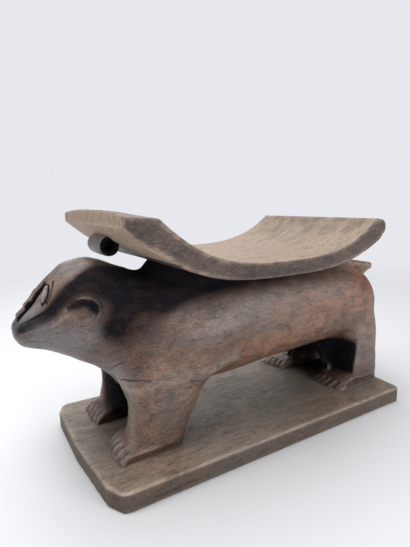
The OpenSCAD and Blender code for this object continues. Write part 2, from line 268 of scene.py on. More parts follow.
# %% Carving tools
def to_path(points, path):
    """Distance from every point to a polyline, the nearest point on it, and the share of the
    path's length (0 to 1) at which that lies."""
    path = np.asarray(path, float)
    best = np.full(len(points), np.inf)
    near = np.zeros_like(points)
    share = np.zeros(len(points))
    legs = np.diff(path, axis=0)
    length = np.linalg.norm(legs, axis=1)
    done = np.concatenate([[0], np.cumsum(length)]) / max(length.sum(), 1e-9)
    for k in range(len(legs)):
        t = np.clip((points - path[k]) @ legs[k] / max(length[k] ** 2, 1e-9), 0, 1)
        q = path[k] + t[:, None] * legs[k]
        d = np.linalg.norm(points - q, axis=1)
        hit = d < best
        best[hit], near[hit] = d[hit], q[hit]
        share[hit] = (done[k] + t * (done[k + 1] - done[k]))[hit]
    return best, near, share


def curve(points, count=24):
    """A smooth path through a few points: each coordinate runs through its values."""
    points = np.asarray(points, float)
    step = np.concatenate([[0], np.cumsum(np.linalg.norm(np.diff(points, axis=0), axis=1))])
    t = np.linspace(0, step[-1], count)
    return np.stack([through(t, step, column) for column in points.T], -1)


def close_by(points, path, reach):
    """Indices of the points within reach of the path's box."""
    path = np.asarray(path, float)
    return np.flatnonzero(np.all((points > path.min(0) - reach) & (points < path.max(0) + reach), 1))


def settle(path, points):
    """Moves a path onto the skin: each of its points goes to the nearest skin point."""
    path = np.asarray(path, float)
    near = points[close_by(points, path, 25)]
    return near[np.argmin(np.linalg.norm(path[:, None] - near[None], axis=2), 1)]


def gouge(p, path, radius, soft):
    """Pushes points inside a round tool out to its surface. The tool's radius changes evenly
    from the first value to the second, and its rim is blended in over soft."""
    k = close_by(p, path, max(radius) + soft)
    d, near, share = to_path(p[k], path)
    r = radius[0] + (radius[1] - radius[0]) * share
    push = np.where(d < r - soft, r - d, np.clip(r + soft - d, 0, None) ** 2 / (4 * soft))
    p[k] += (p[k] - near) / np.maximum(d, 1e-6)[:, None] * push[:, None]
    return p


def stroke(p, normals, path, radius, height, flat=0.0, taper=0.0):
    """Raises (height > 0) or sinks the surface along its normal by height times
    (1 - s^2)^2, where s runs from 0 at the edge of the flat part to 1 at the radius. With
    taper, the stroke fades out over that share of its length at both ends."""
    k = close_by(p, path, radius)
    d, _, share = to_path(p[k], path)
    s = np.clip((d / radius - flat) / (1 - flat), 0, 1)
    fade = np.clip(np.minimum(share, 1 - share) / taper, 0, 1)[:, None] if taper else 1.0
    p[k] += normals[k] * ((1 - s * s) ** 2)[:, None] * height * fade
    return p


def plane_down(p, point, normal, where, soft):
    """Cuts away what stands in front of a plane inside a region: with e the height over the
    plane, the point goes back by e, blended in over soft."""
    normal = np.asarray(normal, float) / np.linalg.norm(normal)
    e = (p - np.asarray(point, float)) @ normal
    cut = np.where(e > soft, e, np.clip(e + soft, 0, None) ** 2 / (4 * soft)) * where
    return p - normal * cut[:, None]


def rise(x, a, b):
    """0 below a, 1 above b, and 3t^2 - 2t^3 between."""
    t = np.clip((x - a) / (b - a), 0, 1)
    return t * t * (3 - 2 * t)


def fall(x, a, b):
    """1 below a, 0 above b, and one minus the rise between."""
    return 1 - rise(x, a, b)


def noise(p, size, seed):
    """Smooth random value between -1 and 1: random numbers on the corners of a lattice with
    this spacing, blended by 3t^2 - 2t^3 in each direction."""
    q = p / size + seed * 17.31
    cell = np.floor(q).astype(np.int64)
    f = q - cell
    f = f * f * (3 - 2 * f)
    total = np.zeros(len(p))
    for corner in itertools.product((0, 1), repeat=3):
        c = cell + np.array(corner)
        h = (c[:, 0] * 73856093) ^ (c[:, 1] * 19349663) ^ (c[:, 2] * 83492791) ^ (seed * 2654435)
        h = (h ^ (h >> 13)) * 1274126177 & 0x7FFFFFFF
        h = (h ^ (h >> 15)) * 668265263 & 0x7FFFFFFF
        w = np.prod(np.where(np.array(corner) == 1, f, 1 - f), 1)
        total += w * (h / 0x3FFFFFFF - 1)
    return total


# %% [markdown]
# ## The animal's rough form
# The body is a barrel with a flat back, the head a wedge, and the legs are thick posts that
# flare into the body. The tables follow the CAD's sections, so the render and the solid
# share one shape. A row of a share table is: how far along, top, bottom, width, each as a
# share of the whole.

# %% Head and body
belly_z, back_z, ankle_z, leg_z, base_top = 75.0, 222.0, 44.0, 101.0, 22.0
neck_x, rump_x, nose_x = -172.0, 241.0, -293.0


def share_rows(shares, length, height, width, n):
    """Rows for loft_x from shares of a length from the neck, a height over the belly and a
    width, all with squareness n."""
    return [[neck_x + u * length, belly_z + t * height, belly_z + b * height, w * width / 2, n]
            for u, t, b, w in shares]


body_h = back_z - belly_z
body_rows = share_rows([
    [-0.03, 1.05, 0.10, 0.72], [0, 1.078, 0.054, 0.795], [0.04, 1.037, 0.02, 0.846],
    [0.09, 1.007, 0, 0.897], [0.17, 1, 0, 0.93], [0.32, 1, 0.003, 0.93], [0.46, 1, 0.034, 0.925],
    [0.61, 1, 0.055, 0.936], [0.73, 1, 0.082, 0.968], [0.83, 0.98, 0.095, 1],
    [0.90, 0.915, 0.095, 0.98], [0.95, 0.83, 0.116, 0.9], [0.98, 0.707, 0.2, 0.77],
    [1, 0.565, 0.34, 0.58]], rump_x - neck_x, body_h, 156, 2.5)
head_rows = share_rows([
    [-0.05, 0.89, 0.06, 0.95], [0, 0.916, 0.046, 1], [0.07, 0.938, 0.087, 0.98],
    [0.215, 0.983, 0.19, 0.92], [0.32, 1, 0.254, 0.87], [0.44, 0.988, 0.306, 0.815],
    [0.545, 0.965, 0.353, 0.76], [0.645, 0.9, 0.39, 0.685], [0.735, 0.826, 0.422, 0.605],
    [0.825, 0.736, 0.445, 0.52], [0.89, 0.694, 0.46, 0.455], [0.96, 0.648, 0.491, 0.37],
    [1, 0.605, 0.538, 0.24]], nose_x - neck_x, 173, 124, 2.3)
tail_rows = [[214, 208.6, 174, 30, 6], [232, 206, 176, 29.5, 7], [246, 204.3, 183, 29.5, 8],
             [257, 203.3, 190, 29.5, 8], [265.5, 203, 190.8, 29.5, 8]]
print("body %.0f mm long, head %.0f mm" % (rump_x - neck_x, neck_x - nose_x))

# %% [markdown]
# The fore legs lean forward into the chest. Each hind leg is a post, hollow in front, with a
# ridge along its inner edge; both flare inwards as they rise.

# %% Legs
fore_x0, fore_x1, fore_in, foot_out, shin = -190.0, -102.0, 24.0, 80.0, leg_z - ankle_z
fore_rows = [[base_top - 3, fore_x0 - 4, fore_x1 - 20, fore_in + 2, foot_out - 2, 2.7],
             [ankle_z, fore_x0 + 1, fore_x1 - 11, fore_in + 4, foot_out - 3.5, 2.5],
             [ankle_z + 0.32 * shin, fore_x0 + 5, fore_x1 + 1, fore_in + 4, foot_out - 4, 2.4],
             [ankle_z + 0.67 * shin, fore_x0 + 5, fore_x1 + 12, fore_in + 3, foot_out - 4, 2.5],
             [leg_z - 5, fore_x0 + 1, fore_x1 + 27, fore_in, foot_out - 5, 2.8],
             [leg_z + 1, fore_x0 - 1, fore_x1 + 44, fore_in - 2, foot_out - 5, 2.9],
             [leg_z + 8, fore_x0 - 3, fore_x1 + 78, fore_in - 5, foot_out - 6, 2.8],
             [leg_z + 16, fore_x0 - 5, fore_x1 + 104, fore_in - 6, foot_out - 7, 2.6],
             [leg_z + 40, fore_x0 + 4, fore_x1 + 80, fore_in - 8, foot_out - 10, 2.4]]


def hind_rows(front, inner, flare):
    """A hind leg spreads inwards from paw to belly by flare."""
    high = inner - 0.95 * flare
    return [[base_top - 3, front, rump_x - 10, inner, foot_out, 3.4],
            [ankle_z, front, rump_x - 7, inner - 0.04 * flare, foot_out - 1, 3.2],
            [ankle_z + 0.18 * shin, front, rump_x - 6, inner - 0.22 * flare, foot_out - 1, 3.1],
            [ankle_z + 0.42 * shin, front, rump_x - 5, inner - 0.6 * flare, foot_out - 1.4, 3],
            [ankle_z + 0.78 * shin, front, rump_x - 4, high, foot_out - 1.6, 3],
            [leg_z, front - 2, rump_x - 3, high, foot_out - 1.7, 2.8],
            [leg_z + 0.2 * body_h, front - 10, rump_x - 3, high, foot_out - 2.6, 2.2],
            [leg_z + 0.42 * body_h, front - 12, rump_x - 14, high, foot_out - 7, 2]]


def shin_rows(front, inner, flare):
    """A ridge along the inner front edge of a hind leg, rising from the paw to the belly."""
    rear = front + 24
    return [[base_top - 3, front - 12, rear, inner - 1, inner + 14, 4],
            [ankle_z, front - 10, rear, inner - 0.08 * flare, inner + 9, 4],
            [ankle_z + 0.18 * shin, front - 9, rear, inner - 0.28 * flare, inner + 3, 4],
            [ankle_z + 0.42 * shin, front - 10, rear, inner - 0.68 * flare, inner - 0.2 * flare, 4],
            [ankle_z + 0.78 * shin, front - 13, rear, inner - flare, inner - 0.45 * flare, 4]]


# side, inner edge, toe tip, lean of the toe line, front of the leg, inward flare
hind_feet = ((-1, 29, 135.5, -7, 162, 32), (1, 30, 108, 9, 146.4, 18))
print("hind toes at", [foot[2] for foot in hind_feet])

# %% [markdown]
# Each paw is a low wedge that runs forward from the leg. The toe line is square on the fore
# paws and leans a little on the hind paws; the right hind foot stands ahead of the left.

# %% Paws
def paw_form(toe, heel, inner, side, lean, top_z):
    """Section at y across the paw: from the toe tip the top rises as a quarter of a rounded
    wave to the instep, z = top * (1 - (1 - t)^2.2)^(1/2), with t running back from the tip."""
    y = np.linspace(inner, foot_out, 26)
    edge = np.abs((y - (inner + foot_out) / 2) / ((foot_out - inner) / 2))
    back = toe + lean * (foot_out - y) / (foot_out - inner) + 4.0 * edge ** 4
    outward = np.clip(2 * (y - inner) / (foot_out - inner) - 1, 0, 1)
    high = (top_z - base_top) * (1 - 0.20 * edge ** 6 - 0.50 * outward ** 2.5)
    t = np.linspace(0, 1, 30)[:, None]
    x = back + 34 * t
    z = base_top + high * np.sqrt(np.clip(1 - (1 - t) ** 2.2, 0, 1)) * (0.72 + 0.28 * t)
    top = np.stack([x, 0 * x + side * y, z], -1)
    rear = top[-1:].copy()
    rear[..., 0] = heel - 16 * outward ** 3
    rear[..., 2] = base_top + 0.35 * (rear[..., 2] - base_top)
    low_rear, low_tip = rear.copy(), top[:1].copy()
    low_rear[..., 2] = low_tip[..., 2] = base_top - 3
    return closed_loft(np.concatenate([top, rear, low_rear, low_tip]).transpose(1, 0, 2))


# %% [markdown]
# The seat is a plank hewn to a trough. Two curves in the animal's long plane give its top and
# its flatter underside. The block that carries it ends just inside the underside, and its
# front spreads down into the neck as a cove.

# %% Seat curves and seat support
seat_x0, seat_x1, low_x, low_z = -205.5, 166.5, -10.2, 240.0
front_z, chin, throat_x, seat_t = 298.0, (-180.9, 264.9), -138.5, 18.5


def trough(x, low, front_run, rear_run):
    """z = low + rise * (distance from the lowest point / run)^3, with its own rise and run
    towards the front and towards the rear."""
    return np.where(x < low_x, low + 53.4 * (np.abs(low_x - x) / front_run) ** 3,
                    low + 43.0 * (np.abs(x - low_x) / rear_run) ** 3)


def seat_under(x):
    return trough(x, low_z - seat_t, 180.5, 180.4)


support = loft_z([[200, -150, 98, -54, 50, 3], [214, -146, 94, -50, 45, 3], [226, -139, 92, -46, 42, 3],
                  [236, -129, 93, -46.5, 43.5, 3], [245, -119, 94, -47, 44, 3],
                  [262, -112, 98, -50, 47, 3]], 1)
support[0][:, 2] = np.minimum(support[0][:, 2], seat_under(support[0][:, 0]) + 6)
rough = [loft_x(body_rows), loft_x(head_rows), loft_x(tail_rows, 30), support]
for side, inner, toe, lean, front, flare in hind_feet:
    rough += [loft_z(rows, side) for rows in
              (fore_rows, hind_rows(front, inner, flare), shin_rows(front, inner, flare))]
    rough += [paw_form(-207, -123, fore_in, side, 0, 46), paw_form(toe, 214, inner, side, lean, 38)]
print("rough forms:", len(rough))

# %% [markdown]
# Now the skin goes over the rough forms. Creases between legs and body are filled to broad
# coves, as a gouge leaves them, and the whole is smoothed once more.

# %% The animal's skin
animal = skin_over(as_mesh("rough", rough), 2.0)
p = get_points(animal)
smooth(animal, 4, 1 - 0.8 * rise(p[:, 0], 243, 248))
p = get_points(animal)
limbs = rise(p[:, 2], 40, 60) * fall(p[:, 2], 190, 200)
fill_hollows(animal, 16, np.clip(limbs + 0.35 * rise(p[:, 2], 212, 220), 0, 1))
smooth(animal, 6, rise(p[:, 2], 36, 50) * fall(p[:, 0], 243, 248))
print("skin points:", len(p))

# %% [markdown]
# The head, the paws and the places with cracks carry the finest cuts, so their faces are
# divided once more before carving, and those of the nose and eyes twice.

# %% Finer faces where the detail is
neck_crack = [(-196, -24, 109), (-194, -46, 113), (-187, -61, 113.5), (-177, -68, 112.5), (-164, -72, 111)]
fine_crack = [(-200, -37, 121), (-194, -49, 130), (-187, -56, 135)]
flank_split = [(-123, -76, 92), (-118, -76.5, 92.6), (-114, -76.5, 92)]


def refine(mesh, where):
    """Divides every face whose middle lies where the function says, keeping quads."""
    work = bmesh.new()
    work.from_mesh(mesh)
    chosen = where(np.array([f.calc_center_median()[:] for f in work.faces]) / MM)
    edges = {e for f, c in zip(work.faces, chosen) if c for e in f.edges}
    bmesh.ops.subdivide_edges(work, edges=list(edges), cuts=1, use_grid_fill=True)
    work.to_mesh(mesh)
    work.free()


def fine_places(q):
    """Head, paws, and within 7 mm of a crack."""
    cracks = np.min([to_path(q, path)[0] for path in (neck_crack, fine_crack, flank_split)], 0)
    return (q[:, 0] < -204) & (q[:, 2] > 138) | (q[:, 2] < 46) | (cracks < 7)


def finest_places(q):
    """The middle of the face: the nose bar, its slits and the eyes."""
    return ((q[:, 0] < -244) & (q[:, 2] > 180) & (np.abs(q[:, 1]) < 27)
            & (0.66 * (q[:, 0] + 280) - 0.56 * (q[:, 2] - 197) < 12))


refine(animal, fine_places)
refine(animal, finest_places)
smooth(animal, 3)
p, n = get_points(animal), get_normals(animal)
print("after refining:", len(p))

# %% [markdown]
# ## Carving the head
# The face is cut with flats and gouges. A flat plane runs down each side of the nose, from
# the eye to the tip. Below it a gouge cut sweeps back from the nose, under the brow, to the
# ear. The ear is a scoop with a lip over it, and the eye is an almond left standing. All
# lines are drawn on the animal's left, and both sides get the same cuts, mirrored.

# %% Lines of the face
crest = [(-289.5, -13, 180.8), (-285.9, -15, 183), (-277.4, -20.2, 188.3), (-269.3, -25.2, 193.3),
         (-262.5, -29.2, 198.2), (-258, -30, 203), (-253, -30, 208.5), (-245.9, -31, 217.5),
         (-236.9, -32, 226), (-223.6, -31.5, 235), (-212.8, -31.5, 239)]
jaw = [(-288, -23, 174.5), (-284, -26, 175.5), (-274, -31.5, 179), (-262, -38, 182), (-252, -44, 187),
       (-246, -49, 196), (-243, -53, 205), (-232, -53, 214), (-220, -53, 216), (-205, -52, 219)]
cove_depth = [0.0, 4.5, 7.5, 8.0, 6.5, 5.0, 4.0, 2.5, 1.0, 0.0]
dark_cove = [(-285.5, -19, 179.3), (-275.2, -24.2, 184.8), (-266.4, -28.3, 190), (-258, -32.5, 197.2),
             (-250.4, -34.8, 206), (-240.9, -37.5, 214.5), (-230.2, -39, 222.5), (-217.3, -40, 229),
             (-200, -40, 230)]
ear_lip = [(-246.5, -41, 197), (-242.5, -43, 201.3), (-238.3, -45.5, 205.2), (-232.3, -48.4, 209.2),
           (-224.2, -50.8, 211.3), (-215.4, -52.7, 208), (-211.5, -54.5, 201.5), (-211.3, -55.8, 196),
           (-213.2, -54.9, 190.8), (-216.4, -52.8, 186)]
ear_top = [(-250, -50, 198), (-243, -52, 203.5), (-236, -51, 207.5), (-229, -50, 209.5),
           (-222, -49, 208.5), (-217, -50, 205.5), (-213.5, -52, 200), (-213, -53, 194)]
ear_low = [(-247, -50, 193), (-240, -52, 192), (-235, -53, 189), (-230, -53, 186),
           (-224, -53, 186), (-220, -53, 188), (-217, -53, 191), (-215, -53, 193)]
ear_depth = [0, 3.5, 4.5, 5, 5, 4.5, 3.5, 0]
ear_dark = [(-237, -45, 201), (-229, -47, 203.5), (-222, -49, 203), (-216, -52, 198)]
eye_line = [(-263.6, -21.8, 203.6), (-260.8, -18.2, 210), (-258, -15.0, 216), (-254.8, -11.8, 221.6)]
lid_line = [(-249.5, -15.7, 226.1), (-252.6, -20, 219.6), (-255.6, -22.8, 213.3), (-259.8, -25.2, 205.8)]
print("crest of the brow: %d points" % len(crest))


# %% Tools for the face
def on_side(path, side):
    """Mirrors a path drawn on the animal's left (y < 0) to the side wanted."""
    return np.asarray(path, float) * (1, -side, 1)


def cove(p, top, low, depth, into, side, crisp=(0.5, 0.5)):
    """Sinks a band between a crest (top) and a soft lower edge (low). With s the share of
    the way from crest to edge, a point goes inwards by depth times s^k (1 - s)^1.2, scaled
    to about 1 at its deepest. k is small, 0.5, where the crest is crisp, and 1.6 where it
    fades: crisp gives its value at the start and at the end of the band. into is the way
    inwards, given for the animal's left as the lines are."""
    top, low = curve(on_side(top, side), 40), curve(on_side(low, side), 40)
    share = to_path(p, (top + low) / 2)[2]
    i = np.minimum((share * 39).astype(int), 38)
    t = (share * 39 - i)[:, None]
    a, b = (line[i] * (1 - t) + line[i + 1] * t for line in (top, low))
    span = b - a
    s = np.sum((p - a) * span, 1) / np.sum(span * span, 1)
    away = np.linalg.norm(p - (a + b) / 2, axis=1) > 0.9 * np.linalg.norm(span, axis=1)
    s = np.where(away | (side * p[:, 1] < 0), 0, np.clip(s, 0, 1))
    deep = np.interp(share, np.linspace(0, 1, len(depth)), depth)
    into = on_side(into, side)
    into /= np.linalg.norm(into)
    k = np.interp(share, (0.25, 0.5), crisp)
    return p + into * (deep * s ** k * (1 - s) ** 1.2 / np.interp(k, (0.5, 1.6), (0.385, 0.15)))[:, None]


def past_eye(points, side):
    """How far each point lies outside the eye, in mm, negative inside. The eye is an almond
    drawn round its line: half width = 4 * (1 - (2t - 1)^2)^(4/5), t the share of the line."""
    path = curve(settle(on_side(eye_line, side), points), 16)
    gap = np.full(len(points), 99.0)
    k = close_by(points, path, 12)
    d, _, t = to_path(points[k], path)
    gap[k] = d - 4.0 * (1 - (2 * t - 1) ** 2) ** 0.8
    return gap


# %% Face
for side in (-1, 1):
    outside = side * p[:, 1]
    brow = rise(p[:, 0], -272, -246) * fall(p[:, 0], -236, -200) * rise(outside, 2, 18)
    p = plane_down(p, (-240, side * 7, 238), (-0.45, side * 0.45, 0.77), 0.6 * brow, 8)
    cheek = fall(p[:, 0], -258, -236) * rise(outside, 5, 8) * rise(p[:, 2], 172, 178)
    p = plane_down(p, (-280, side * 7, 197), (-0.66, side * 0.50, 0.56), cheek, 2.0)
    p = cove(p, crest, jaw, cove_depth, (0.35, 0.85, 0.40), side, (0.5, 1.6))
put_points(animal, p)
smooth(animal, 14, rise(p[:, 0], -256, -248) * fall(p[:, 0], -205, -195) * rise(p[:, 2], 208, 214))
p, n = get_points(animal), get_normals(animal)
for side in (-1, 1):
    p = stroke(p, n, settle(curve(on_side(ear_lip, side)), p), 2.1, 2.6, 0.3, 0.12)
    p = cove(p, ear_top, ear_low, ear_depth, (0.1, 0.9, 0.25), side)
    gap = past_eye(p, side)
    p += n * (2.6 * fall(gap, -2.2, 0.2) - 0.9 * np.exp(-((gap - 0.7) / 0.8) ** 2))[:, None]
    p = stroke(p, n, settle(curve(on_side(lid_line, side), 12), p), 1.6, -1.8, 0.1, 0.2)
print("face cut")

# %% [markdown]
# Down the middle of the face runs a raised bar, from the forehead to the nose, with a deep
# slit on each side of it. Nostrils and the mouth's corners are short strokes.

# %% Nose bar, slits and mouth
def slit(p, wide, far_back):
    """1 inside the two slits beside the bar, with soft edges: wide gives the places of the
    edges across, far_back those along, each as where it rises and where it falls."""
    across, back = np.abs(p[:, 1]), -p[:, 0]
    return (rise(across, *wide[:2]) * fall(across, *wide[2:])
            * rise(back, *far_back[:2]) * fall(back, *far_back[2:]))


slope = np.array([-0.75, 0, 0.66])
bar = np.interp(p[:, 0], (-290, -278, -276.3, -264, -262.5, -244), (2.4, 2.8, 4.8, 4.2, 3.0, 0))
lift = bar * fall(np.abs(p[:, 1]), 4.7, 5.6) * rise(p[:, 2], 186, 190)
lift -= 6.5 * slit(p, (4.7, 5.6, 9.2, 10.4), (255, 260, 285.5, 288))
p += slope * (lift * rise(n @ slope, 0.15, 0.4) * rise(p[:, 2], 180, 184))[:, None]
for side in (-1, 1):
    nostril = on_side([(-293, -4, 184), (-293.5, -4.4, 179), (-293, -4, 174)], side)
    p = stroke(p, n, settle(curve(nostril, 8), p), 1.8, -1.6, 0.1, 0.3)
    mouth = on_side([(-283, -25, 168.5), (-277, -28, 166.8), (-269, -31, 165)], side)
    p = stroke(p, n, settle(curve(mouth, 10), p), 1.5, -1.2, 0.1, 0.4)
print("nose bar stands %.1f mm proud" % bar.max())

# %% [markdown]
# ## Paws and legs
# Four curved cuts divide each paw into five toes. The long sole is undercut along its outer
# side, where a dark band of painted shade is laid later on the fore paws, and the hind leg is
# hollowed in front.

# %% Toes, soles and hollows
def toe_cuts(p, n, toe, side, inner, lean):
    """Four cuts between five toes: each runs from the toe tips up over the instep."""
    for share in (0.14, 0.33, 0.54, 0.77):
        y = inner + share * (foot_out - inner)
        x = toe + lean * (1 - share)
        path = [(x - 1, side * (y - 2), 21), (x, side * (y - 1), 27),
                (x + 4, side * (y + 1), 33), (x + 13, side * (y + 3), 38)]
        path = settle(curve(path, 14), p)
        p = stroke(p, n, path, 5.2, -2.2, 0.0, 0.15)
        p = gouge(p, path, (1.8, 1.4), 0.5)
    return p


sole_out = 75.5
for side, inner, toe, lean, leg_front, flare in hind_feet:
    p = toe_cuts(p, n, -207, side, fore_in, 0)
    p = toe_cuts(p, n, toe, side, inner, lean)
    sole = fall(p[:, 2], 28, 33) * (rise(p[:, 0], -205, -196) * (p[:, 0] < -100) + rise(p[:, 0], 150, 162))
    p[:, 1] -= side * np.clip(side * p[:, 1] - sole_out, 0, None) * sole
    share = (foot_out - 5 - side * p[:, 1]) / (foot_out - 5 - inner)
    bow = np.clip(1 - (2 * share - 1) ** 2, 0, 1) * (share > 0) * (share < 1)
    front = (np.abs(p[:, 0] - leg_front) < 15) & (n[:, 0] < -0.4) & (side * p[:, 1] > 0)
    p[:, 0] += 9 * bow ** 0.7 * front * fall(p[:, 2], 84, 104) * rise(p[:, 2], 36, 44)
print("paws cut")

# %% [markdown]
# ## Neck, flank and small damage
# Long shallow strokes shape the neck and the shoulder, where a ridge and a hollow run back
# side by side. Old wood also has drying cracks and worm holes, and no carved surface is
# quite even, so a little noise at three sizes goes over everything.

# %% Neck, flank and small damage
worm_holes = [(-224.4, -34, 138.9, 1.3), (-210.4, -38.2, 133.5, 1.2), (-166.3, -68.8, 126.6, 1.6),
              (-156.8, -70.8, 127, 1.1), (-238.3, -39.1, 155.8, 1.0), (-272.2, -22.4, 157.5, 0.9)]
for side in (-1, 1):
    p = stroke(p, n, settle(on_side([(-203, -56, 172), (-196, -60, 158)], side), p), 26, -3.2)
    p = stroke(p, n, settle(on_side([(-206, -50, 214), (-196, -56, 200)], side), p), 20, -2.0)
for crack, width, height in ((neck_crack, 1.5, -1.7), (fine_crack, 1.2, -0.9), (flank_split, 1.4, -1.4)):
    p = stroke(p, n, settle(curve(crack), p), width, height, 0.1, 0.3)
for *hole, radius in worm_holes:
    hole = np.array(hole)
    p = stroke(p, n, settle([hole, hole + (0.5, 0, 0)], p), radius + 0.6, -1.4)

ridge = [(-136, -77, 122), (-104, -78, 136), (-62, -76, 156), (-18, -73, 172)]
hollow = [(-172, -66, 150), (-140, -69, 172), (-100, -67, 192), (-56, -62, 210)]
for side in (-1, 1):
    p = stroke(p, n, curve(on_side(ridge, side)), 32, 3.2, 0, 0.3)
    p = stroke(p, n, curve(on_side(hollow, side)), 32, -4.0, 0, 0.3)
calm = 1 - 0.6 * ((p[:, 0] < -240) | (p[:, 2] < 46))
p += n * (0.55 * noise(p, 34, 1) + 0.28 * noise(p, 13, 2) + 0.10 * noise(p, 5, 3))[:, None] * calm[:, None]
put_points(animal, p)
print("worm holes:", len(worm_holes))

# %% [markdown]
# ## Wear, dirt, painted shade and painted light
# Hands polish what stands proud and dirt stays in what lies deep. Both are measured from the
# mesh: the position is averaged over its neighbours a few times, and how far the average
# lies outside or inside the surface says how hollow or how proud a point is. Zones that the
# shape alone doesn't explain are painted with soft blobs and bands, and so are the painted
# shade and the painted light.

# %% Tools for wear, dirt, painted shade and painted light
def tint(mesh, name, value):
    """Stores one value between 0 and 1 for every point."""
    layer = mesh.attributes.new(name, "FLOAT", "POINT")
    layer.data.foreach_set("value", np.clip(value, 0, 1).astype(np.float32))


def mark_wear(mesh, wide=10, deep_mm=1.2, proud_mm=0.8, rubbed_and_lit=0):
    """Stores two values between 0 and 1: hollow, and wear with painted light. The last argument
    is added to the wear where it is given; the callers put painted light and rubbed places in it."""
    points, normals, pairs = get_points(mesh), get_normals(mesh), get_edges(mesh)
    average = points
    for _ in range(wide):
        average = neighbour_mean(average, pairs)
    height = np.sum((average - points) * normals, 1)
    tint(mesh, "hollow", height / deep_mm)
    tint(mesh, "wear_and_light", rubbed_and_lit - height / proud_mm)
    mesh.polygons.foreach_set("use_smooth", np.ones(len(mesh.polygons), bool))
    mesh.update()


def blob(points, *places):
    """Sum of soft bells exp(-r^2): r is the distance from each place divided by its reach in
    x, y and z. A place is (x, y, z, reach x, reach y, reach z, strength)."""
    total = np.zeros(len(points))
    for x, y, z, rx, ry, rz, strength in places:
        total += strength * np.exp(-np.sum(((points - (x, y, z)) / (rx, ry, rz)) ** 2, 1))
    return total


def band(points, path, reach, strength):
    """A soft band along a smooth path: strength times exp(-(distance / reach)^2). The reach
    may change evenly from the first value to the second."""
    reach = np.broadcast_to(reach, (2,))
    path = curve(path)
    k = close_by(points, path, 3 * max(reach))
    d, _, share = to_path(points[k], path)
    total = np.zeros(len(points))
    total[k] = strength * np.exp(-(d / (reach[0] + (reach[1] - reach[0]) * share)) ** 2)
    return total


# %% [markdown]
# Painted shade lies black under the seat, round the neck, between the legs, in every slit
# and crack, round the eyes and along the cove of the face, with a little soot in it. Dust
# dulls the jaw, the throat and the eyes, and painted light lies on the jaw, the throat, the
# chest and the lower flank; painted sheen brightens the forehead and the upper flank. The
# redder heartwood shows on the flank and rump.

# %% Painted shade, dust, painted light and red wood on the animal
p, n = get_points(animal), get_normals(animal)
# Painted shade: black under the seat on both sides, round the neck and the shoulder hollow, between the fore
# legs and between the hind legs. One weak blob darkens the rump.
shade_and_soot = blob(p,
    (-60, -60, 222, 120, 90, 28, 0.9), (60, -60, 220, 110, 90, 20, 0.85), (-172, -50, 208, 34, 45, 22, 0.75),
    (-203, -56, 170, 15, 16, 16, 0.75), (-190, -60, 186, 16, 16, 20, 0.5), (-198, -45, 224, 26, 30, 15, 0.75),
    (-158, -66, 172, 30, 30, 26, 0.50), (-128, -66, 194, 26, 24, 14, 0.40), (-95, -60, 214, 70, 90, 26, 0.65),
    (-186, -62, 150, 20, 24, 24, 0.38), (-172, -68, 128, 16, 20, 18, 0.25), (232, -50, 196, 26, 60, 40, 0.16),
    (195, 0, 60, 52, 58, 42, 1.4), (150, 0, 70, 40, 50, 22, 1.2), (-140, 0, 60, 60, 38, 46, 1.2),
    (-150, 52, 78, 44, 26, 46, 1.0), (-160, 28, 62, 26, 16, 44, 1.0), (-182, -50, 236, 34, 30, 14, 0.5),
    (-134, 0, 232, 18, 60, 16, 1.2), (-60, 60, 222, 120, 40, 34, 0.9), (60, 60, 215, 110, 40, 26, 0.9))
# Painted shade in the slits beside the nose bar.
shade_and_soot += 2.0 * slit(p, (4.4, 5.2, 9.6, 10.8), (254, 259, 287, 289)) * rise(p[:, 2], 183, 187)
# Painted shade on the hollow front of each hind leg.
leg_hollow = (n[:, 0] < -0.45) * rise(p[:, 0], 120, 136) * rise(p[:, 2], 36, 48) * fall(p[:, 2], 82, 98)
shade_and_soot += 0.9 * leg_hollow * fall(np.abs(p[:, 1]), 70, 79)
# Painted shade along the cracks.
for crack, strength in ((neck_crack, 0.5), (fine_crack, 0.3), (flank_split, 0.6)):
    shade_and_soot += band(p, settle(crack, p), 1.1, strength)
eyes = 0 * shade_and_soot
for side in (-1, 1):
    # Painted shade, with a little soot, along the cove under the brow; painted shade in the top of the ear's
    # scoop and along the lid.
    shade_and_soot += band(p, on_side(dark_cove, side), (9.5, 14), 1.02)
    shade_and_soot += band(p, on_side(ear_dark, side), (4.0, 6.0), 0.85)
    shade_and_soot += band(p, on_side(lid_line, side), 1.5, 1.1)
    # Painted shade in a thin ring round each eye, in the groove cut there.
    gap = past_eye(p, side)
    shade_and_soot += 1.2 * np.exp(-((gap - 0.9) / 1.1) ** 2)
    eyes += fall(gap, -1.8, 0.2)
    # Painted shade along the undercut of each fore paw's sole.
    sole_line = on_side([(-198, -76, 24), (-150, -76, 26), (-124, -75, 28)], side)
    shade_and_soot += band(p, sole_line, (3.5, 5.5), 0.6)
# Painted shade and soot are stored together, broken up by a little noise.
tint(animal, "shade_and_soot", shade_and_soot + 0.12 * noise(p, 22, 11))
# Painted light: pale patches on the lower flank, the low rump, the throat and the chest stand for light from
# the floor below, and the one on the forehead is a painted sheen. The lip of each ear and the eyes are made
# paler too.
rubbed_and_lit = blob(p, (20, -76, 106, 120, 26, 13, 0.45), (205, -80, 96, 26, 20, 30, 0.40),
              (-214, 0, 116, 34, 70, 22, 0.50), (-196, -50, 84, 16, 34, 30, 0.40),
              (-246, -14, 232, 22, 20, 16, 0.45))
mark_wear(animal, rubbed_and_lit=rubbed_and_lit + band(p, ear_lip[:6], 1.4, 0.9) + 0.5 * eyes)
